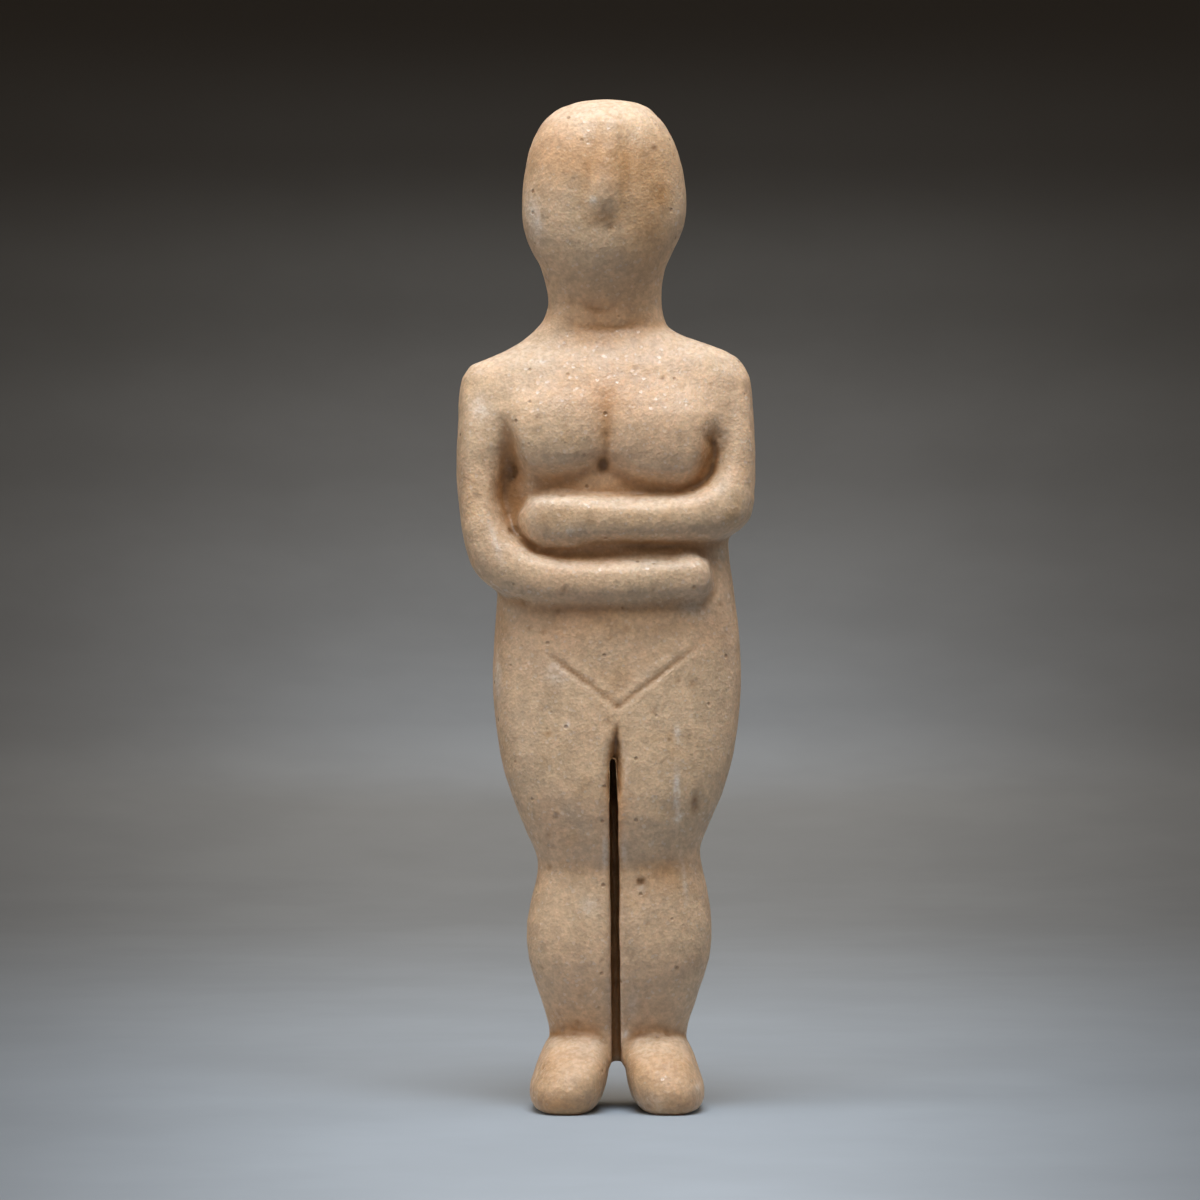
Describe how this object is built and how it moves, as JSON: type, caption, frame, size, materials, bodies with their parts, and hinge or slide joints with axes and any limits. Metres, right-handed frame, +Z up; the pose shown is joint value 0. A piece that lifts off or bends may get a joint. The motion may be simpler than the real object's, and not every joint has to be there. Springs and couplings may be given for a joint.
{
  "type": "folded-arm marble figurine",
  "caption": "Slender standing figure carved from marble, arms folded across the body, a faceless oval head with a ridge nose, legs parted by a saw-cut cleft, on flat soles.",
  "frame": {"origin": "on the ground under the middle of the figure's bounding box, at the level of its soles", "axes": "+Z up from the soles to the crown; the figure faces -Y; its own left side is +X"},
  "size_m": [0.089, 0.0546, 0.3],
  "materials": {
    "marble": "weathered fine-grained marble, tan patina with grey and ochre clouds, soil in the hollows"
  },
  "bodies": {
    "root": {"marble_figurine": "marble"}
  },
  "joints": []
}
